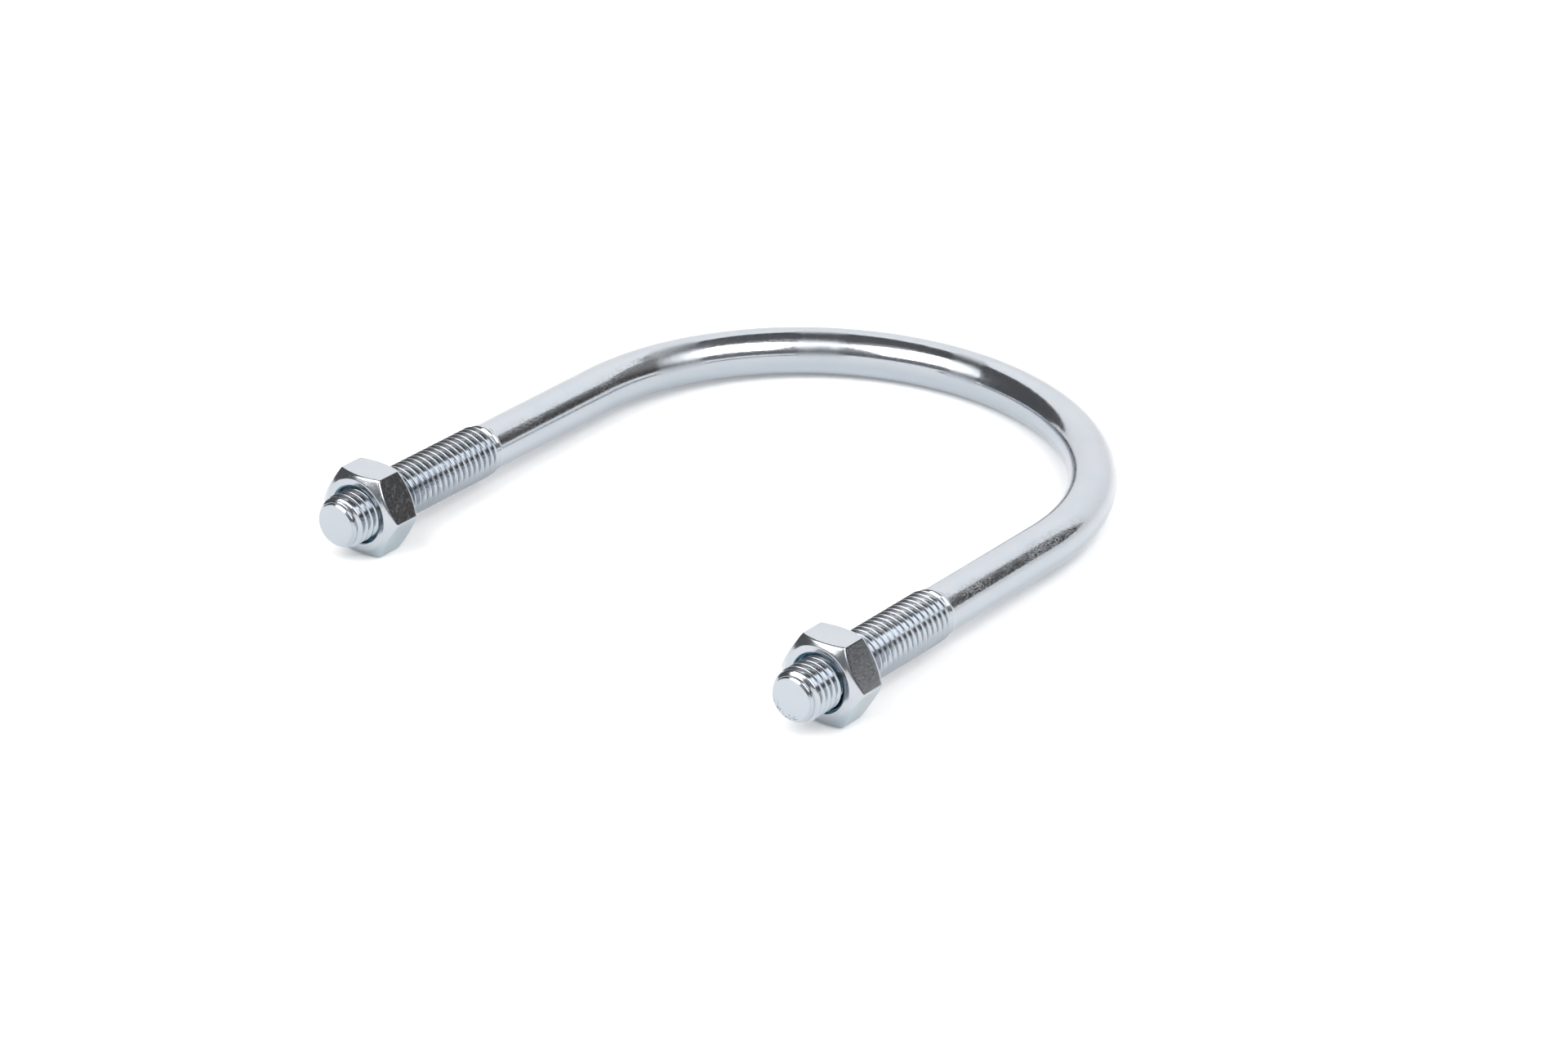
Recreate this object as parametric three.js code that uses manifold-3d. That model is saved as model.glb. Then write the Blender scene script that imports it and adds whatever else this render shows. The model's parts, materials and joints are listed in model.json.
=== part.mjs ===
// A steel U-bolt with a hex nut on each leg.
//
// The bolt is one round rod bent through half a turn, with a right-hand metric thread rolled on
// the end of each leg. The thread is rolled, so its crests stand proud of the plain rod and its
// roots lie below it. Each nut turns on its leg's thread and travels one pitch a turn.
//
// Frame: the U lies in the XY plane, its legs point along -Y and its bend lies towards +Y. The
// origin is the centre of the whole outline. Lengths are in millimetres.

import * as THREE from "three";
import { mergeVertices } from "three/addons/utils/BufferGeometryUtils.js";
import Module from "manifold-3d";

// Driving dimensions.
const INSIDE_WIDTH = 113; // clear space between the legs, for a pipe of up to 110 mm
const ROD_DIAMETER = 10.86; // a rolled M12 thread starts from a rod of its pitch diameter
const LEG_LENGTH = 89.2; // from the bend's centre to the end of a leg
const THREAD_DIAMETER = 11.95; // M12, at the crests
const PITCH = 1.75;
const THREAD_LENGTH = 50; // from the leg's end to the last trace of thread
const RUN_OUT = 2.7; // the stretch where the last grooves fade away
const ACROSS_FLATS = 18.7;
const NUT_HEIGHT = 9.7;
const NUT_CORNER_CHAMFER = THREE.MathUtils.degToRad(30);
const NUT_FACE_DIAMETER = 16.6; // the flat ring that each end of the nut bears on
const WASHER_FACE_HEIGHT = 0.4; // the raised ring on the nut's bearing side
const COUNTERSINK_DIAMETER = 13.6;
const PITCHES_SHOWING = { left: 3.8, right: 5.2 }; // leg standing out beyond each nut

// Fits.
const THREAD_CLEARANCE = 0.1; // radial, between the bolt's thread and a nut's
const WASHER_FACE_GAP = 0.05; // between a nut's hexagon and its washer face
const JOINING_STEP = 0.1; // how far the faded thread sits inside the plain rod it joins

// How finely round shapes are divided.
const THREAD_SEGMENTS = 16;
const RING_SEGMENTS = 36;
const ROD_SEGMENTS = 24;
const ROD_STEPS = 56;

// Worked out from the above.
const ROD_RADIUS = ROD_DIAMETER / 2;
const CREST_RADIUS = THREAD_DIAMETER / 2;
const THREAD_DEPTH = 0.61343 * PITCH; // of an external metric thread
const ROOT_RADIUS = CREST_RADIUS - THREAD_DEPTH;
const BEND_RADIUS = (INSIDE_WIDTH + ROD_DIAMETER) / 2; // to the middle of the rod
const LENGTH = LEG_LENGTH + BEND_RADIUS + ROD_RADIUS;
const LEG_END_Y = -LENGTH / 2;
const BEND_CENTRE_Y = LEG_END_Y + LEG_LENGTH;
const HEX_HEIGHT = NUT_HEIGHT - WASHER_FACE_HEIGHT - WASHER_FACE_GAP;
const CORNER_RADIUS = ACROSS_FLATS / 2 / Math.cos(Math.PI / 6);

const zinc = new THREE.MeshStandardMaterial({ color: 0xd3d9e0, roughness: 0.3, metalness: 1 });
const nutZinc = new THREE.MeshStandardMaterial({ color: 0xccd2d8, roughness: 0.34, metalness: 1 });

const wasm = await Module();
wasm.setup();

// A three.js geometry as a solid that can be joined and cut.
function solid(geometry) {
  const bare = geometry.clone().deleteAttribute("normal").deleteAttribute("uv");
  const merged = mergeVertices(bare, 1e-4);
  return new wasm.Manifold(
    new wasm.Mesh({
      numProp: 3,
      vertProperties: merged.attributes.position.array,
      triVerts: new Uint32Array(merged.index.array),
    }),
  );
}

// A joined or cut solid as a three.js geometry.
function geometryOf(made) {
  const mesh = made.getMesh();
  const geometry = new THREE.BufferGeometry();
  geometry.setAttribute("position", new THREE.BufferAttribute(mesh.vertProperties, 3));
  geometry.setIndex(new THREE.BufferAttribute(mesh.triVerts, 1));
  geometry.computeVertexNormals();
  return geometry;
}

// One pitch of thread as [distance along the axis, radius]: crest, flank, root and flank.
// The flanks lean 30 degrees.
function threadProfile(crest, root) {
  const crestWidth = PITCH / 8;
  const flank = (crest - root) * Math.tan(Math.PI / 6);
  return [
    [0, crest],
    [crestWidth, crest],
    [crestWidth + flank, root],
    [PITCH - flank, root],
  ];
}

// How much of the thread's depth is left at a height on the leg: all, then none past its run-out.
function threadShare(y) {
  return THREE.MathUtils.clamp((THREAD_LENGTH - y) / RUN_OUT, 0, 1);
}

// A closed screw-shaped rod about Y from a profile of one pitch. It rises one pitch for each
// turn from +Z towards +X, which is a right-hand thread. radiusAt(radius, y) may reshape it.
function screw(profile, startY, turns, radiusAt) {
  const rows = Math.round(turns * THREAD_SEGMENTS) + 1;
  const points = profile.length;
  const vertices = [];
  for (let row = 0; row < rows; row++) {
    const angle = (2 * Math.PI * row) / THREAD_SEGMENTS;
    for (const [along, profileRadius] of profile) {
      const y = startY + (PITCH * row) / THREAD_SEGMENTS + along;
      const radius = radiusAt(profileRadius, y);
      vertices.push(radius * Math.sin(angle), y, radius * Math.cos(angle));
    }
  }
  // The point after a profile's last one is the first point of the row one turn on.
  const at = (row, k) => (k < points ? row * points + k : (row + THREAD_SEGMENTS) * points);
  const index = [];
  for (let row = 0; row + 1 < rows; row++) {
    for (let k = 0; k < points; k++) {
      if (k === points - 1 && row + 1 + THREAD_SEGMENTS >= rows) continue;
      const [a, b, c, d] = [at(row, k), at(row + 1, k), at(row + 1, k + 1), at(row, k + 1)];
      index.push(a, b, c, a, c, d);
    }
  }
  // Each end is a fan from a point on the axis to the edge that one turn leaves open.
  const lastTurn = rows - 1 - THREAD_SEGMENTS;
  const bottom = [];
  const top = [];
  for (let row = 0; row <= THREAD_SEGMENTS; row++) bottom.push(at(row, 0));
  for (let k = points - 1; k > 0; k--) bottom.push(at(0, k));
  for (let row = rows - 1; row >= lastTurn; row--) top.push(at(row, points - 1));
  for (let k = 0; k < points - 1; k++) top.push(at(rows - 1, k));
  for (const edge of [bottom, top]) {
    const hub = vertices.length / 3;
    vertices.push(0, vertices[3 * edge[0] + 1], 0);
    edge.forEach((vertex, i) => index.push(hub, edge[(i + 1) % edge.length], vertex));
  }
  const geometry = new THREE.BufferGeometry();
  geometry.setAttribute("position", new THREE.Float32BufferAttribute(vertices, 3));
  geometry.setIndex(index);
  return geometry;
}

// The threaded end of a leg, from its end face at y = 0 towards +Y, with a chamfered end.
function legThread() {
  const joinRadius = ROD_RADIUS - JOINING_STEP;
  const turns = Math.ceil(THREAD_LENGTH / PITCH) + 3;
  const fading = (radius, y) => joinRadius + (radius - joinRadius) * threadShare(y);
  const thread = screw(threadProfile(CREST_RADIUS, ROOT_RADIUS), -2 * PITCH, turns, fading);
  const outside = CREST_RADIUS + 0.5;
  const chamfer = outside - ROOT_RADIUS;
  const envelope = new THREE.LatheGeometry(
    [
      new THREE.Vector2(0, 0),
      new THREE.Vector2(ROOT_RADIUS, 0),
      new THREE.Vector2(outside, chamfer),
      new THREE.Vector2(outside, 2 * THREAD_LENGTH),
      new THREE.Vector2(0, 2 * THREAD_LENGTH),
    ],
    RING_SEGMENTS,
  );
  return solid(thread).intersect(solid(envelope));
}

// Half a turn in the XY plane about (0, centreY), from -X over the top to +X.
class HalfTurn extends THREE.Curve {
  constructor(radius, centreY) {
    super();
    this.radius = radius;
    this.centreY = centreY;
  }
  getPoint(t, target = new THREE.Vector3()) {
    const angle = Math.PI * (1 - t);
    const x = this.radius * Math.cos(angle);
    return target.set(x, this.centreY + this.radius * Math.sin(angle), 0);
  }
}

// The plain rod: one leg, the half-round bend and the other leg.
function plainRod() {
  const startY = LEG_END_Y + THREAD_LENGTH;
  const legTop = new THREE.Vector3(-BEND_RADIUS, BEND_CENTRE_Y, 0);
  const path = new THREE.CurvePath();
  path.add(new THREE.LineCurve3(new THREE.Vector3(-BEND_RADIUS, startY, 0), legTop));
  path.add(new HalfTurn(BEND_RADIUS, BEND_CENTRE_Y));
  path.add(
    new THREE.LineCurve3(
      new THREE.Vector3(BEND_RADIUS, BEND_CENTRE_Y, 0),
      new THREE.Vector3(BEND_RADIUS, startY, 0),
    ),
  );
  const section = new THREE.Shape().absarc(0, 0, ROD_RADIUS, 0, 2 * Math.PI, false);
  return new THREE.ExtrudeGeometry(section, {
    steps: ROD_STEPS,
    curveSegments: ROD_SEGMENTS / 2,
    extrudePath: path,
  });
}

function uBolt() {
  let bolt = solid(plainRod());
  for (const side of [-1, 1]) {
    const thread = geometryOf(legThread());
    thread.translate(side * BEND_RADIUS, LEG_END_Y, 0);
    bolt = bolt.add(solid(thread));
  }
  return new THREE.Mesh(geometryOf(bolt), zinc);
}

// A lathe solid about Y that trims a hexagon's corners to the nut's chamfers.
function cornerTrim() {
  const face = NUT_FACE_DIAMETER / 2;
  const outside = CORNER_RADIUS + 1;
  const drop = (outside - face) * Math.tan(NUT_CORNER_CHAMFER);
  return new THREE.LatheGeometry(
    [
      new THREE.Vector2(0, 0),
      new THREE.Vector2(face, 0),
      new THREE.Vector2(outside, drop),
      new THREE.Vector2(outside, HEX_HEIGHT - drop),
      new THREE.Vector2(face, HEX_HEIGHT),
      new THREE.Vector2(0, HEX_HEIGHT),
    ],
    RING_SEGMENTS,
  );
}

// A 90 degree cone about Y that opens a countersink at y = 0.
function countersink() {
  const mouth = COUNTERSINK_DIAMETER / 2;
  return new THREE.LatheGeometry(
    [
      new THREE.Vector2(0, -1),
      new THREE.Vector2(mouth + 1, -1),
      new THREE.Vector2(0, mouth),
    ],
    RING_SEGMENTS,
  );
}

// The screw that cuts a nut's thread. The nut's outer face is at y = 0, and the cut is in step
// with the leg's thread where the nut sits. Its flats lie outside the true circle, not inside it.
function nutTap(pitchesShowing) {
  const outside = 1 / Math.cos(Math.PI / THREAD_SEGMENTS);
  const crest = CREST_RADIUS + THREAD_CLEARANCE;
  const root = ROOT_RADIUS + THREAD_CLEARANCE;
  const startY = -PITCH * (2 + (pitchesShowing % 1));
  const turns = Math.ceil(NUT_HEIGHT / PITCH) + 4;
  return screw(threadProfile(crest, root), startY, turns, (radius) => radius * outside);
}

// A hex nut about Y, from its outer face at y = 0 to where its washer face starts.
function hexNut(pitchesShowing) {
  const hexagon = new THREE.CylinderGeometry(
    CORNER_RADIUS,
    CORNER_RADIUS,
    HEX_HEIGHT,
    6,
    1,
    false,
    Math.PI / 6,
  );
  hexagon.translate(0, HEX_HEIGHT / 2, 0);
  const farCountersink = countersink();
  farCountersink.rotateX(Math.PI);
  farCountersink.translate(0, HEX_HEIGHT, 0);
  const nut = solid(hexagon)
    .intersect(solid(cornerTrim()))
    .subtract(solid(nutTap(pitchesShowing)))
    .subtract(solid(countersink()))
    .subtract(solid(farCountersink));
  return new THREE.Mesh(geometryOf(nut), nutZinc);
}

// The raised ring on the nut's bearing side, from y = 0 up to the face that presses on the work.
function washerFace() {
  const inner = COUNTERSINK_DIAMETER / 2;
  const outer = NUT_FACE_DIAMETER / 2;
  const ring = new THREE.LatheGeometry(
    [
      new THREE.Vector2(inner, 0),
      new THREE.Vector2(outer, 0),
      new THREE.Vector2(outer, WASHER_FACE_HEIGHT),
      new THREE.Vector2(inner, WASHER_FACE_HEIGHT),
      new THREE.Vector2(inner, 0),
    ],
    RING_SEGMENTS,
  );
  return new THREE.Mesh(ring, nutZinc);
}

// A nut on its leg. The group's origin is on the leg's axis, at the nut's outer face.
function nutOnLeg(side, name) {
  const group = new THREE.Group();
  const pitchesShowing = side < 0 ? PITCHES_SHOWING.left : PITCHES_SHOWING.right;
  const nut = hexNut(pitchesShowing);
  nut.name = name;
  const ring = washerFace();
  ring.name = name + "_washer_face";
  ring.position.y = HEX_HEIGHT + WASHER_FACE_GAP;
  group.add(nut, ring);
  group.position.set(side * BEND_RADIUS, LEG_END_Y + PITCH * pitchesShowing, 0);
  return group;
}

const assembly = new THREE.Group();
const bolt = uBolt();
bolt.name = "u_bolt";
assembly.add(bolt, nutOnLeg(-1, "nut_left"), nutOnLeg(1, "nut_right"));

export default assembly;
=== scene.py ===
"""A zinc-plated U-bolt with a hex nut on each leg, lying on a pale studio floor.

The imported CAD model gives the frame. Each visible piece here is a finer mesh that stands for CAD
nodes: the bolt for u_bolt, and each nut for its hexagon and its washer face. Lengths are metres.
"""

import json
import math

import bmesh
import bpy
import numpy as np
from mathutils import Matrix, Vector, noise


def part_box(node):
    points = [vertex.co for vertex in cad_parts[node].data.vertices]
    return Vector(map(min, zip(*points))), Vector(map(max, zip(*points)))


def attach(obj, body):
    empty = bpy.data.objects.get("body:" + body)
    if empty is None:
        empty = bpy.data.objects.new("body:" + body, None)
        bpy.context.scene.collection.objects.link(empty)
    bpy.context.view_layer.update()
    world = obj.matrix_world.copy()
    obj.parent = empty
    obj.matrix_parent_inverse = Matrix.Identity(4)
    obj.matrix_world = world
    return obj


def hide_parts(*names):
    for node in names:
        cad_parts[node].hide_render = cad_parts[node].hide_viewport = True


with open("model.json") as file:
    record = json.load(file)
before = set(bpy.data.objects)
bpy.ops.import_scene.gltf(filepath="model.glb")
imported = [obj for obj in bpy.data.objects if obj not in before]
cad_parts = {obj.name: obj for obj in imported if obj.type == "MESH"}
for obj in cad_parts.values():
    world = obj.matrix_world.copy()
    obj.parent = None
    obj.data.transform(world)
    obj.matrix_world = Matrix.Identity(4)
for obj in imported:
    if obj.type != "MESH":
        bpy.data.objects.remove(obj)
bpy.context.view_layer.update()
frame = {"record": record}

MM = 0.001

# Sizes from the frame.
BOLT_LOW, BOLT_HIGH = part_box("u_bolt")
PITCH = 2 * math.pi * frame["record"]["behaviour"]["couplings"][0]["ratio"]
CREST = BOLT_HIGH.z
ROD = CREST - 0.311 * PITCH  # a rolled thread's plain bar has its pitch diameter
ROOT = CREST - 0.613 * PITCH
BEND = BOLT_HIGH.x - CREST
BEND_CENTRE_Y = BOLT_HIGH.y - BEND - ROD
LEG = BEND_CENTRE_Y - BOLT_LOW.y
BAR_LENGTH = 2 * LEG + math.pi * BEND

# A metric thread's profile, in shares of its pitch.
HALF_CREST_FLAT = 1 / 16
FLANK_WIDTH = 0.354  # the thread's depth times tan 30 degrees

# Sizes that the frame's boxes don't show.
THREAD_LENGTH = 50 * MM
RUN_OUT = 2.7 * MM
END_FACE = ROOT - 0.3 * MM  # radius of a leg's flat end
END_CHAMFER = 0.6 * MM  # beyond it the first threads fill out gradually
END_CROWN = 0.03 * MM  # how far an end's middle stands out beyond its rim
TORN_DEPTH = 0.4 * MM  # how deep the right leg's lower edge is torn
NUT_FACE = 8.3 * MM  # radius of a nut's flat washer face
NUT_CHAMFER_SLOPE = 0.65
COUNTERSINK = 6.8 * MM  # radius of the countersink's mouth
THREAD_CLEARANCE = 0.1 * MM
FULL_SHADE_DEPTH = 0.8 * MM  # how far into the bore the painted shade, deep blue-green over the plate's own blue, is at its strongest
FAINT_SHADE_DEPTH = 2.6 * MM  # and where it has faded
NUT_EDGE = 0.45 * MM  # rounding of a nut's upright edges
NUT_OUTER_ROUND = 0.45 * MM  # rounding between a nut's flats and its outer chamfer
NUT_BEARING_ROUND = 0.6 * MM  # the same on its bearing side

# How finely the bolt is divided. Rows run round the bar as screw lines, one pitch a turn, so
# each thread edge is one row. Offsets are shares of a pitch from the middle of a crest.
COLUMNS = 80
HALF_ROW_OFFSETS = (0.05, 0.075, 0.1, 0.25, 0.4, 0.425, 0.445)
ROW_OFFSETS = tuple(-offset for offset in reversed(HALF_ROW_OFFSETS)) + HALF_ROW_OFFSETS
ROWS_A_PITCH = len(ROW_OFFSETS)
CREST_PHASE = 0.8125  # where along the first pitch, at column 0, a crest's middle is
CAP_RINGS = (0.98, 0.96, 0.94, 0.92, 0.89, 0.86, 0.82, 0.77, 0.7, 0.6, 0.4, 0.2)
BORE_ROWS = 96


def smooth(low, high, value):
    """0 below low, 1 above high, and an S-shaped step between them. Works on arrays."""
    share = np.clip((value - low) / (high - low), 0, 1)
    return share * share * (3 - 2 * share)


def new_object(name, mesh):
    """Puts a mesh into the scene as an object."""
    made = bpy.data.objects.new(name, mesh)
    bpy.context.scene.collection.objects.link(made)
    return made


# ---------------------------------------------------------------- the thread and the bar


def thread_share(phase):
    """How high the thread stands, 0 at its roots and 1 at its crests, at a phase in pitches."""
    from_crest = np.abs((phase + 0.5) % 1 - 0.5)
    return np.clip(1 - (from_crest - HALF_CREST_FLAT) / FLANK_WIDTH, 0, 1)


def leg_radius(phase, from_end):
    """The bar's radius at a thread phase and a distance from the leg's end."""
    threaded = ROOT + (CREST - ROOT) * thread_share(phase)
    left = np.clip((THREAD_LENGTH - from_end) / RUN_OUT, 0, 1)
    radius = ROD + (threaded - ROD) * left
    beyond_chamfer = np.maximum(from_end - END_CHAMFER, 0)
    end_chamfer = END_FACE + np.minimum(from_end, END_CHAMFER) + 0.5 * beyond_chamfer
    return np.minimum(radius, end_chamfer)


def bar_points():
    """The bar's surface as an array [row, column, xyz], and the same with the bar straightened."""
    pitches = np.arange(-3, math.ceil(BAR_LENGTH / PITCH) + 4)
    along_row = ((pitches[:, None] + np.array(ROW_OFFSETS)).ravel() + CREST_PHASE) * PITCH
    turn = np.arange(COLUMNS) / COLUMNS
    along = along_row[:, None] + PITCH * turn
    phase = (along_row / PITCH - CREST_PHASE)[:, None] + 0 * turn
    radius = leg_radius(phase, np.minimum(along, BAR_LENGTH - along))

    bend_angle = math.pi - np.clip((along - LEG) / BEND, 0, math.pi)
    side_x, side_y = np.cos(bend_angle), np.sin(bend_angle)
    below = np.minimum(along - LEG, 0) + np.minimum(BAR_LENGTH - LEG - along, 0)
    angle = 2 * math.pi * turn + 0 * along
    out = radius * np.cos(angle)
    up = radius * np.sin(angle)
    points = np.stack(
        [side_x * (BEND + out), BEND_CENTRE_Y + side_y * (BEND + out) + below, up], axis=2
    )
    straight = np.stack([out, along, up], axis=2)
    return points, straight


def cap_end(bm, loop, centre, depth):
    """Closes a leg's end with rings around its centre. depth(spot, share) sinks them into the leg."""

    def bearing(vertex):
        return math.atan2(vertex.co.z - centre.z, vertex.co.x - centre.x)

    outer = sorted(loop, key=bearing)
    ring = outer
    straight = bm.verts.layers.float_vector["straight"]
    for share in CAP_RINGS:
        inner = []
        for vertex in outer:
            spot = centre.lerp(vertex.co, share)
            spot.y += depth(spot, share)
            made = bm.verts.new(spot)
            out, along, up = vertex[straight]
            made[straight] = (share * out, along, share * up)
            inner.append(made)
        for k in range(len(ring)):
            after = (k + 1) % len(ring)
            bm.faces.new((ring[k], ring[after], inner[after], inner[k]))
        ring = inner
    hub = bm.verts.new(centre)
    hub[straight] = (0, outer[0][straight].y, 0)
    for k in range(len(ring)):
        bm.faces.new((ring[k], ring[(k + 1) % len(ring)], hub))


def sawn_end(spot, share):
    """A cleanly cut end, which is slightly crowned. share is 0 at its middle and 1 at its rim."""
    return END_CROWN * share**4


def sheared_end(spot, share):
    """A sheared end: as the other, with torn metal along its lower edge."""
    lower = smooth(-0.35 * END_FACE, -0.8 * END_FACE, spot.z + 0.45 * (spot.x - BEND))
    near_rim = smooth(0.6, 0.86, share)
    torn = noise.noise(spot * 2300) + 0.5 * noise.noise(spot * 900) + 0.3
    return END_CROWN * share**4 + TORN_DEPTH * lower * near_rim * torn


def make_bolt():
    """The bar as one mesh: its grid of rows, cut square at the legs' ends and capped there."""
    points, straight = bar_points()
    rows = len(points)
    number = np.arange(rows * COLUMNS).reshape(rows, COLUMNS)
    inner = np.stack(
        [number[:-1, :-1], number[:-1, 1:], number[1:, 1:], number[1:, :-1]], axis=2
    ).reshape(-1, 4)
    # Past the last column a row carries on as the row one pitch further along.
    joined = np.stack(
        [
            number[: -1 - ROWS_A_PITCH, -1],
            number[ROWS_A_PITCH:-1, 0],
            number[1 + ROWS_A_PITCH :, 0],
            number[1:-ROWS_A_PITCH, -1],
        ],
        axis=1,
    )
    mesh = bpy.data.meshes.new("u_bolt")
    faces = np.concatenate([inner, joined])
    mesh.from_pydata(points.reshape(-1, 3).tolist(), [], faces.tolist())
    layer = mesh.attributes.new("straight", "FLOAT_VECTOR", "POINT")
    layer.data.foreach_set("vector", straight.reshape(-1).astype(np.float32))

    bm = bmesh.new()
    bm.from_mesh(mesh)
    everything = bm.verts[:] + bm.edges[:] + bm.faces[:]
    bmesh.ops.bisect_plane(
        bm, geom=everything, plane_co=BOLT_LOW, plane_no=(0, -1, 0), clear_outer=True
    )
    rim = [v for v in bm.verts if v.is_boundary]
    bmesh.ops.remove_doubles(bm, verts=rim, dist=0.05 * MM)
    rim = [v for v in bm.verts if v.is_boundary]
    for side in (-1, 1):
        centre = Vector((side * BEND, BOLT_LOW.y, 0))
        loop = [v for v in rim if v.co.x * side > 0]
        cap_end(bm, loop, centre, sheared_end if side > 0 else sawn_end)
    bmesh.ops.recalc_face_normals(bm, faces=bm.faces[:])
    for face in bm.faces:
        face.smooth = True
    bm.to_mesh(mesh)
    bm.free()
    return new_object("zinc_u_bolt", mesh)


# ---------------------------------------------------------------- the nuts


def corner_half_angle(flat):
    """How far a rounded corner reaches to each side, seen from the hexagon's middle."""
    tangent = (flat - NUT_EDGE) * math.tan(math.pi / 6)
    return math.pi / 6 - math.atan(tangent / flat)


def hexagon_radius(angle, flat):
    """Distance from a hexagon's middle to its rounded outline, with a flat towards angle 0."""
    off_flat = (angle + math.pi / 6) % (math.pi / 3) - math.pi / 6
    off_corner = math.pi / 6 - np.abs(off_flat)
    corner_middle = (flat - NUT_EDGE) / math.cos(math.pi / 6)
    inside = NUT_EDGE**2 - (corner_middle * np.sin(off_corner)) ** 2
    rounded = corner_middle * np.cos(off_corner) + np.sqrt(np.maximum(inside, 0))
    return np.where(off_corner < corner_half_angle(flat), rounded, flat / np.cos(off_flat))


def nut_angles(flat):
    """Column angles round a nut, closer together at its six rounded corners."""
    rounded = corner_half_angle(flat) * np.linspace(0, 1, 5)
    from_corner = np.concatenate([rounded, np.radians([2, 4, 8, 12, 16, 20, 24, 28])])
    sector = np.concatenate([-from_corner[:0:-1], from_corner])
    corners = math.pi / 6 + np.arange(6) * math.pi / 3
    return np.sort((corners[:, None] + sector).ravel())


def chamfer_drop(radius):
    """How far a nut's chamfer has dropped from its face at a radius."""
    return NUT_CHAMFER_SLOPE * (radius - NUT_FACE)


def nut_side(wide, rounding):
    """One end of a nut, from its countersink out to its flats, as rows of (radius, drop)."""
    level = 0 * wide
    rows = [
        (level + COUNTERSINK, level + 0.06 * MM),
        (level + COUNTERSINK + 0.07 * MM, level),
        (level + COUNTERSINK + 0.2 * MM, level),
        (level + NUT_FACE - 0.25 * MM, level),
        (level + NUT_FACE - 0.05 * MM, level),
    ]
    start = wide - rounding
    for share in (0.1, 0.3, 0.5, 0.7, 0.85, 1):
        radius = NUT_FACE + share * (start - NUT_FACE)
        rows.append((radius, chamfer_drop(radius)))
    # The rounding is a curve that is pulled towards the sharp corner it replaces.
    low, corner = chamfer_drop(start), chamfer_drop(wide)
    for share in (0.15, 0.3, 0.45, 0.6, 0.75, 0.9, 1):
        first, middle, last = (1 - share) ** 2, 2 * share * (1 - share), share**2
        radius = first * start + (middle + last) * wide
        rows.append((radius, first * low + middle * corner + last * (corner + rounding)))
    rows.append((wide, corner + 1.5 * rounding))
    return rows


def nut_section(angle, height, flat, phase_at_face):
    """A nut's closed outline as [row, angle, (radius, distance from outer face)]."""
    wide = hexagon_radius(angle, flat)
    outer_side = nut_side(wide, NUT_OUTER_ROUND)
    far_side = [(radius, height - drop) for radius, drop in nut_side(wide, NUT_BEARING_ROUND)]
    bore = []
    for down in np.linspace(height - 0.1 * MM, 0.1 * MM, BORE_ROWS):
        phase = (down / PITCH) + phase_at_face - angle / (2 * math.pi)
        thread = ROOT + (CREST - ROOT) * thread_share(phase) + THREAD_CLEARANCE
        mouth = COUNTERSINK - min(down, height - down)
        bore.append((np.maximum(thread, mouth), down + 0 * angle))
    middle = [(wide, height / 2 + 0 * angle)]
    rows = outer_side + middle + far_side[::-1] + bore
    return np.array([[radius, down] for radius, down in rows]).transpose(0, 2, 1)


def make_nut(side):
    """A nut as one mesh, on its leg's axis, with its thread in step with the leg's."""
    name = "nut_left" if side < 0 else "nut_right"
    low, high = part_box(name)
    bearing_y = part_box(name + "_washer_face")[1].y
    angle = nut_angles(high.z)
    # The angle is measured from +Z towards +X. The bolt's rows start at its outer side.
    start = CREST_PHASE + 0.25 if side < 0 else BAR_LENGTH / PITCH - CREST_PHASE - 0.25
    phase_at_face = (low.y - BOLT_LOW.y) / PITCH - start
    section = nut_section(angle, bearing_y - low.y, high.z, phase_at_face)
    radius, down = section[..., 0], section[..., 1]
    points = np.stack(
        [side * BEND + radius * np.sin(angle), low.y + down, radius * np.cos(angle)], axis=2
    )
    rows, columns = radius.shape
    number = np.arange(rows * columns).reshape(rows, columns)
    row_on = np.roll(number, -1, axis=0)
    faces = np.stack(
        [number, row_on, np.roll(row_on, -1, axis=1), np.roll(number, -1, axis=1)], axis=2
    )
    mesh = bpy.data.meshes.new(name)
    mesh.from_pydata(points.reshape(-1, 3).tolist(), [], faces.reshape(-1, 4).tolist())
    # Where the painted shade of the countersink and the bore's mouth goes, fading deeper into the
    # bore.
    recess = smooth(COUNTERSINK + 0.1 * MM, COUNTERSINK - 0.3 * MM, radius)
    recess = recess * (0.3 + 0.7 * smooth(FAINT_SHADE_DEPTH, FULL_SHADE_DEPTH, down))
    layer = mesh.attributes.new("recess", "FLOAT", "POINT")
    layer.data.foreach_set("value", recess.reshape(-1).astype(np.float32))
    bm = bmesh.new()
    bm.from_mesh(mesh)
    bmesh.ops.recalc_face_normals(bm, faces=bm.faces[:])
    for face in bm.faces:
        face.smooth = True
    bm.to_mesh(mesh)
    bm.free()
    return new_object("zinc_" + name, mesh)


# ---------------------------------------------------------------- materials


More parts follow.
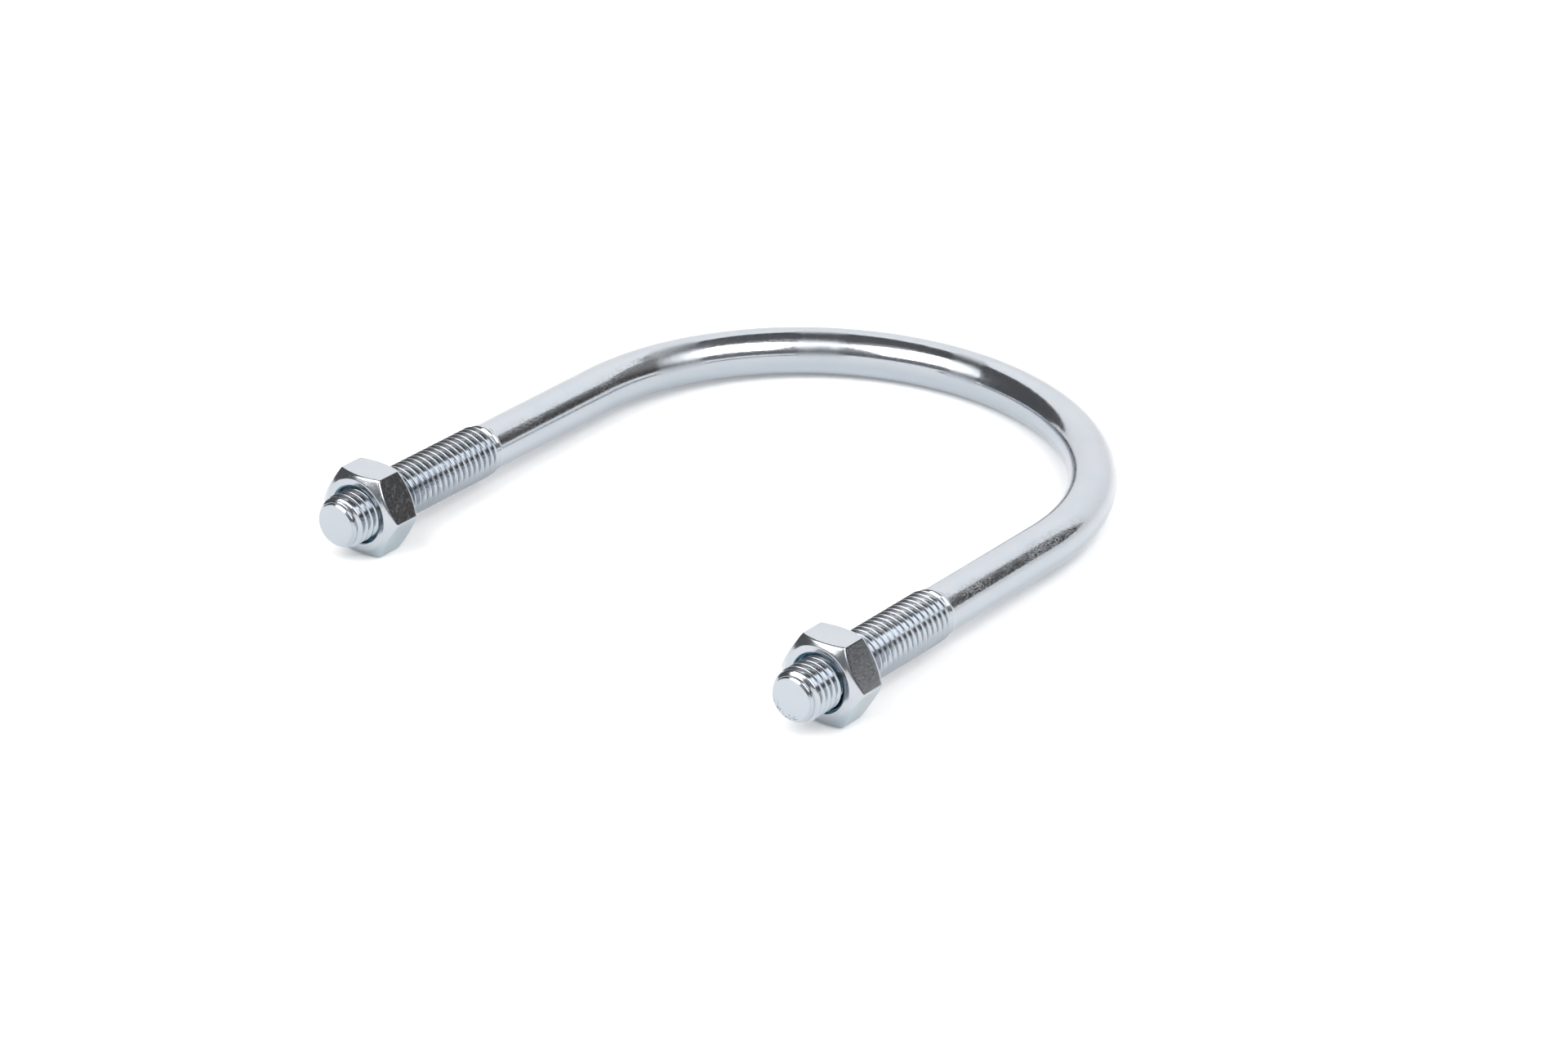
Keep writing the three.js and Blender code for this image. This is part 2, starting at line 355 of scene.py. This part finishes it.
class Nodes:
    """Small helper for building a material's node tree."""

    def __init__(self, tree):
        self.tree = tree

    def add(self, kind, settings=None, **inputs):
        node = self.tree.nodes.new(kind)
        for key, value in (settings or {}).items():
            setattr(node, key, value)
        for key, value in inputs.items():
            self.feed(node.inputs[key.replace("_", " ")], value)
        return node

    def feed(self, socket, value):
        if isinstance(value, bpy.types.NodeSocket):
            self.tree.links.new(value, socket)
        else:
            socket.default_value = value

    def maths(self, operation, a, b=0.0):
        node = self.add("ShaderNodeMath", {"operation": operation})
        self.feed(node.inputs[0], a)
        self.feed(node.inputs[1], b)
        return node.outputs[0]

    def span(self, value, low, high, to_low=0.0, to_high=1.0):
        node = self.add("ShaderNodeMapRange", {"interpolation_type": "SMOOTHSTEP"})
        for socket, given in zip(node.inputs, (value, low, high, to_low, to_high)):
            self.feed(socket, given)
        return node.outputs[0]

    def blend(self, share, a, b):
        """A number that goes from a to b as share goes from 0 to 1."""
        return self.maths("ADD", a, self.maths("MULTIPLY", share, self.maths("SUBTRACT", b, a)))

    def part(self, vector, letter):
        return self.add("ShaderNodeSeparateXYZ", Vector=vector).outputs[letter]

    def normal(self):
        return self.add("ShaderNodeNewGeometry").outputs["Normal"]

    def scaled(self, vector, scale):
        node = self.add("ShaderNodeMapping", {"vector_type": "POINT"})
        self.feed(node.inputs["Vector"], vector)
        self.feed(node.inputs["Scale"], scale)
        return node.outputs[0]

    def noise(self, vector, scale, detail=3.0, roughness=0.55):
        node = self.add("ShaderNodeTexNoise")
        self.feed(node.inputs["Vector"], vector)
        self.feed(node.inputs["Scale"], scale)
        self.feed(node.inputs["Detail"], detail)
        self.feed(node.inputs["Roughness"], roughness)
        return node.outputs[0]

    def mixed(self, share, a, b):
        node = self.add("ShaderNodeMix", {"data_type": "RGBA"})
        self.feed(node.inputs[0], share)
        self.feed(node.inputs[6], a)
        self.feed(node.inputs[7], b)
        return node.outputs[2]


def zinc(name, paint):
    """Bright zinc plate. paint(nodes) gives its colour, roughness, bump height and bump depth."""
    material = bpy.data.materials.new(name)
    material.use_nodes = True
    tree = material.node_tree
    tree.nodes.clear()
    nodes = Nodes(tree)
    colour, roughness, height, depth = paint(nodes)
    bump = nodes.add("ShaderNodeBump", Height=height, Distance=depth, Strength=1.0)
    shader = nodes.add("ShaderNodeBsdfPrincipled")
    nodes.feed(shader.inputs["Base Color"], colour)
    nodes.feed(shader.inputs["Metallic"], 1.0)
    nodes.feed(shader.inputs["Roughness"], roughness)
    nodes.feed(shader.inputs["Normal"], bump.outputs[0])
    output = nodes.add("ShaderNodeOutputMaterial")
    tree.links.new(shader.outputs[0], output.inputs["Surface"])
    return material


# Colours of the zinc plate, as it reflects. The last three are painted shade: darker in the thread's
# grooves, deep blue-green in the nuts' countersinks over the plate's own blue, and blue-green on the
# nuts' undersides. BLUE also serves as painted shade on the bar's undersides.
BRIGHT = (0.45, 0.472, 0.502, 1)
BLUE = (0.392, 0.44, 0.487, 1)
DULL = (0.315, 0.336, 0.366, 1)
GROOVE_SHADE = (0.34, 0.38, 0.425, 1)
RECESS_SHADE = (0.17, 0.36, 0.45, 1)
NUT_UNDERSIDE_SHADE = (0.375, 0.45, 0.49, 1)

# Rough patches that the bending tool left on the bar: share of its length, and half their length.
BENDING_MARKS = ((0.298, 9 * MM), (0.397, 8 * MM), (0.499, 6 * MM))


def pitting(nodes, place, along):
    """Bump height of the rough patches that BENDING_MARKS gives."""
    pitted = nodes.noise(place, 5500.0, 2.0, 0.5)
    height = 0.0
    for place_share, reach in BENDING_MARKS:
        away = nodes.maths("SUBTRACT", along, place_share * BAR_LENGTH)
        away = nodes.maths("ABSOLUTE", away)
        mark = nodes.span(away, reach, 0.5 * reach, 0.0, 2.0)
        height = nodes.maths("ADD", height, nodes.maths("MULTIPLY", pitted, mark))
    return height


def paint_bolt(nodes):
    """Short scratches along the bar's rubbed side, rough patches, and a speckle on the threads;
    painted shade on the bar's undersides and in the thread's grooves.
    """
    place = nodes.add("ShaderNodeAttribute", {"attribute_name": "straight"}).outputs["Vector"]
    along = nodes.part(place, "Y")
    from_end = nodes.maths("MINIMUM", along, nodes.maths("SUBTRACT", BAR_LENGTH, along))
    plain_bar = nodes.span(from_end, THREAD_LENGTH - RUN_OUT, THREAD_LENGTH)
    normal = nodes.normal()
    underside_shade = nodes.span(nodes.part(normal, "Z"), 0.5, -0.4)
    # The side that rubbed on the bending tool faces up and towards +X.
    rubbed = nodes.span(nodes.part(normal, "X"), 0.25, 0.5, 0.15, 1.0)
    rubbed = nodes.maths("MULTIPLY", rubbed, nodes.span(nodes.part(normal, "Z"), 0.3, 0.65))

    right_leg = nodes.span(along, 0.45 * BAR_LENGTH, 0.7 * BAR_LENGTH, 0.4, 1.0)
    scratch = nodes.noise(nodes.scaled(place, (5200, 1300, 5200)), 1.0, 2.0, 0.5)
    scratch = nodes.span(scratch, 0.5, 0.6)
    patchy = nodes.span(nodes.noise(place, 110.0, 2.0), 0.35, 0.6, 0.25, 1.0)
    speckle = nodes.noise(place, 3800.0, 2.0, 0.5)
    cloud = nodes.noise(place, 150.0, 3.0)
    ripple = nodes.noise(place, 80.0, 1.0)

    drawn = nodes.maths("MULTIPLY", nodes.maths("MULTIPLY", scratch, patchy), 0.9)
    drawn = nodes.maths("MULTIPLY", drawn, nodes.maths("MULTIPLY", right_leg, rubbed))
    drawn = nodes.maths("ADD", drawn, pitting(nodes, place, along))
    height = nodes.blend(plain_bar, nodes.maths("MULTIPLY", speckle, 0.5), drawn)
    height = nodes.maths("ADD", height, nodes.maths("MULTIPLY", ripple, 1.6))

    # Painted shade: the thread's grooves are coloured darker, most at their roots, but not on the end
    # faces or the plain bar.
    radius = nodes.scaled(place, (1, 0, 1))
    radius = nodes.add("ShaderNodeVectorMath", {"operation": "LENGTH"}, Vector=radius)
    groove_shade = nodes.span(radius.outputs["Value"], ROOT + 0.1 * MM, ROD + 0.1 * MM, 0.6, 0.0)
    groove_shade = nodes.maths("MULTIPLY", groove_shade, nodes.span(from_end, 0.02 * MM, 0.3 * MM))
    groove_shade = nodes.blend(plain_bar, groove_shade, 0.0)

    colour = nodes.mixed(nodes.span(cloud, 0.35, 0.75, 0.0, 0.4), BRIGHT, BLUE)
    # Painted shade: faces that point down are made bluer.
    colour = nodes.mixed(nodes.maths("MULTIPLY", underside_shade, 0.6), colour, BLUE)
    colour = nodes.mixed(nodes.span(speckle, 0.58, 0.8, 0.0, 0.3), colour, DULL)
    colour = nodes.mixed(groove_shade, colour, GROOVE_SHADE)
    roughness = nodes.span(scratch, 0.0, 1.0, 0.11, 0.2)
    return colour, roughness, height, 0.02 * MM


def paint_nut(nodes, lines, flecks):
    """Flats with fine lines along the nut and small bright flecks, painted blue-green shade on the
    undersides, and painted shade in the countersink and the bore's mouth over the plate's own blue.
    """
    place = nodes.add("ShaderNodeTexCoord").outputs["Object"]
    recess = nodes.add("ShaderNodeAttribute", {"attribute_name": "recess"}).outputs["Fac"]

    grain = nodes.noise(nodes.scaled(place, (7000, 1300, 7000)), 1.0, 3.0, 0.6)
    wander = nodes.noise(place, 2000.0, 2.0, 0.6)
    from_line = nodes.maths("ABSOLUTE", nodes.maths("SUBTRACT", wander, 0.5))
    patches = nodes.span(nodes.noise(place, 1100.0, 1.0), 0.52, 0.62)
    fleck = nodes.maths("MULTIPLY", nodes.span(from_line, 0.05, 0.0), patches)
    cloud = nodes.noise(place, 160.0, 3.0)
    ripple = nodes.noise(place, 100.0, 1.0)

    height = nodes.maths("MULTIPLY", grain, lines)
    height = nodes.maths("ADD", height, nodes.maths("MULTIPLY", fleck, flecks))
    height = nodes.maths("ADD", height, nodes.maths("MULTIPLY", ripple, 0.9))

    colour = nodes.mixed(nodes.span(cloud, 0.35, 0.75, 0.0, 0.45), BRIGHT, BLUE)
    colour = nodes.mixed(nodes.span(grain, 0.6, 0.8, 0.0, 0.35), colour, DULL)
    # Painted shade: faces that point down turn blue-green.
    underside_shade = nodes.span(nodes.part(nodes.normal(), "Z"), 0.0, -0.5, 0.0, 0.8)
    colour = nodes.mixed(underside_shade, colour, NUT_UNDERSIDE_SHADE)
    # Painted shade: the countersink and the bore's mouth turn deep blue-green.
    colour = nodes.mixed(recess, colour, RECESS_SHADE)
    roughness = nodes.span(grain, 0.3, 0.75, 0.12, 0.22)
    return colour, roughness, height, 0.015 * MM


# ---------------------------------------------------------------- the studio


COVE_REACH = 0.9  # how far the paper's wall is from the object
WALL_MIDDLE = 203  # the azimuth of the wall's middle, behind the object
LOW_EDGE_MIDDLE = 290  # and of the part, at the left, where the paper ends early and flat
LIP = 10  # how high the paper's rim stands, seen from the object, in degrees
WALL = 53  # and how high it stands behind the object
FLOOR_GLOW = 0.16
GLOW_A_METRE = 0.86  # how much more the paper glows a metre up
SOFTBOX_DISTANCE = 0.75
SOFTBOX_RADIANCE = 4.2

# The room's greys.
LEFT_DARK = (0.14, 0.14, 0.145, 1)
WARM_WALL = (0.09, 0.083, 0.08, 1)
RIGHT_GREY = (0.36, 0.35, 0.34, 1)
CEILING = (0.17, 0.17, 0.175, 1)
FRONT_LOW = (0.24, 0.24, 0.25, 1)
FRONT_HIGH = (0.55, 0.55, 0.56, 1)


def towards(azimuth, elevation):
    """A direction in the frame. Azimuth 0 is -Y, and it grows towards +X."""
    azimuth, elevation = math.radians(azimuth), math.radians(elevation)
    flat = math.cos(elevation)
    return Vector((math.sin(azimuth) * flat, -math.cos(azimuth) * flat, math.sin(elevation)))


def floor_paper():
    """White paper that glows more towards its top, and that a camera behind it sees through."""
    material = bpy.data.materials.new("floor_paper")
    material.use_nodes = True
    tree = material.node_tree
    nodes = Nodes(tree)
    surface = nodes.add("ShaderNodeNewGeometry")
    height = nodes.part(surface.outputs["Position"], "Z")
    glow = nodes.maths("ADD", nodes.maths("MULTIPLY", height, GLOW_A_METRE), FLOOR_GLOW)
    paper = tree.nodes["Principled BSDF"]
    nodes.feed(paper.inputs["Base Color"], (0.93, 0.93, 0.93, 1))
    nodes.feed(paper.inputs["Roughness"], 0.9)
    nodes.feed(paper.inputs["Emission Color"], (1, 1, 1, 1))
    nodes.feed(paper.inputs["Emission Strength"], glow)
    clear = nodes.add("ShaderNodeBsdfTransparent")
    sides = nodes.add("ShaderNodeMixShader")
    nodes.feed(sides.inputs[0], surface.outputs["Backfacing"])
    nodes.feed(sides.inputs[1], paper.outputs[0])
    nodes.feed(sides.inputs[2], clear.outputs[0])
    nodes.feed(tree.nodes["Material Output"].inputs["Surface"], sides.outputs[0])
    return material


def degrees_from(azimuth, middle):
    """How far azimuths in radians are from a middle one in degrees, going the short way round."""
    return np.degrees(np.abs((azimuth - math.radians(middle) + math.pi) % (2 * math.pi) - math.pi))


def make_cove():
    """A pale floor that rises in a curve: high behind the object, and a low lip elsewhere."""
    contact_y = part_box("nut_left")[1].y
    nut_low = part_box("nut_left")[0].z
    bend_y = BEND_CENTRE_Y + BEND
    slope = (-nut_low - ROD) / (bend_y - contact_y)
    azimuth = np.radians(np.arange(0, 360, 2.0))
    wall = 1 - smooth(46, 52, degrees_from(azimuth, WALL_MIDDLE))
    low_edge = 1 - smooth(20, 28, degrees_from(azimuth, LOW_EDGE_MIDDLE))
    rim = LIP + (WALL - LIP) * wall - LIP * low_edge
    rows = []
    for share in np.concatenate([np.linspace(0.02, 0.5, 12), np.linspace(0.55, 1, 24)]):
        lift = np.radians(rim * max(0.0, (share - 0.5) / 0.5))
        curve = 1 - 0.35 * np.exp(-np.degrees(lift) / 12)
        reach = COVE_REACH * curve * min(1.0, share / 0.5) * (1 - 0.5 * low_edge)
        x = reach * np.sin(azimuth)
        y = -reach * np.cos(azimuth)
        z = nut_low + slope * (y - contact_y) + reach * np.tan(lift)
        rows.append(np.stack([x, y, z], axis=1))
    points = np.array(rows)
    count = len(azimuth)
    number = np.arange(points.shape[0] * count).reshape(-1, count)
    after = np.roll(number, -1, axis=1)
    faces = np.stack([number[:-1], number[1:], after[1:], after[:-1]], axis=2).reshape(-1, 4)
    mesh = bpy.data.meshes.new("floor")
    hub = [[0, 0, nut_low - slope * contact_y]]
    middle = [[len(points) * count, int(number[0, k]), int(after[0, k])] for k in range(count)]
    mesh.from_pydata(points.reshape(-1, 3).tolist() + hub, [], faces.tolist() + middle)
    for polygon in mesh.polygons:
        polygon.use_smooth = True
    floor = new_object("floor", mesh)
    mesh.materials.append(floor_paper())


def make_softbox(name, azimuth, elevation, width, height):
    """A rectangular light that faces the object from SOFTBOX_DISTANCE away."""
    light = bpy.data.lights.new(name, "AREA")
    light.shape = "RECTANGLE"
    light.size = width
    light.size_y = height
    light.energy = SOFTBOX_RADIANCE * math.pi * width * height
    made = bpy.data.objects.new(name, light)
    bpy.context.scene.collection.objects.link(made)
    direction = towards(azimuth, elevation)
    made.location = SOFTBOX_DISTANCE * direction
    made.rotation_euler = direction.to_track_quat("Z", "Y").to_euler()


def make_world():
    """The room round the studio, by direction: grey in front and at the right, dark at the left."""
    world = bpy.data.worlds.new("studio")
    bpy.context.scene.world = world
    world.use_nodes = True
    nodes = Nodes(world.node_tree)
    direction = nodes.add("ShaderNodeTexCoord").outputs["Generated"]
    x, y, z = (nodes.part(direction, letter) for letter in "XYZ")
    azimuth = nodes.maths("DEGREES", nodes.maths("ARCTAN2", x, nodes.maths("MULTIPLY", y, -1)))
    elevation = nodes.maths("DEGREES", nodes.maths("ARCSINE", z))

    front = nodes.maths(
        "MULTIPLY", nodes.span(azimuth, -52, -40), nodes.span(azimuth, 96, 108, 1, 0)
    )
    front = nodes.maths("MULTIPLY", front, nodes.span(elevation, 66, 78, 1, 0))
    right = nodes.maths("MULTIPLY", nodes.span(azimuth, 96, 108), nodes.span(elevation, 18, 40))
    colour = nodes.mixed(nodes.span(azimuth, 90, 120), LEFT_DARK, WARM_WALL)
    colour = nodes.mixed(right, colour, RIGHT_GREY)
    colour = nodes.mixed(nodes.span(elevation, 60, 75), colour, CEILING)
    front_grey = nodes.mixed(nodes.span(elevation, 15, 40), FRONT_LOW, FRONT_HIGH)
    colour = nodes.mixed(front, colour, front_grey)
    nodes.feed(world.node_tree.nodes["Background"].inputs["Color"], colour)


def make_camera():
    """The camera, above the legs' ends and to their right, looking down at the bend."""
    azimuth, elevation, roll = 36.86, 26.54, 1.35
    distance = 1178.2 * MM
    camera = bpy.data.cameras.new("camera")
    camera.lens = 124.65
    camera.sensor_width = 36
    camera.clip_start = 0.01
    made = bpy.data.objects.new("camera", camera)
    bpy.context.scene.collection.objects.link(made)
    target = Vector((11.76 * MM, BEND_CENTRE_Y - 25.89 * MM, 0))
    back = towards(azimuth, elevation)
    made.location = target + distance * back
    facing = back.to_track_quat("Z", "Y").to_matrix()
    made.rotation_euler = facing.to_euler()
    made.rotation_euler.rotate_axis("Z", math.radians(roll))
    bpy.context.scene.camera = made


bolt = make_bolt()
bolt.data.materials.append(zinc("bolt_zinc", paint_bolt))
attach(bolt, "bolt")
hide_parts("u_bolt")

for side, name, lines, flecks in ((-1, "nut_left", 0.12, 0.3), (1, "nut_right", 0.16, 0.1)):
    nut = make_nut(side)
    nut.data.materials.append(zinc(name + "_zinc", lambda nodes: paint_nut(nodes, lines, flecks)))
    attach(nut, name + "_turn_body")
    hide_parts(name, name + "_washer_face")

make_cove()
make_softbox("softbox_left", -19, 48, 0.6, 0.54)
make_softbox("softbox_right", 80, 50, 0.54, 0.5)
make_world()
make_camera()

scene = bpy.context.scene
scene.view_settings.view_transform = "Standard"
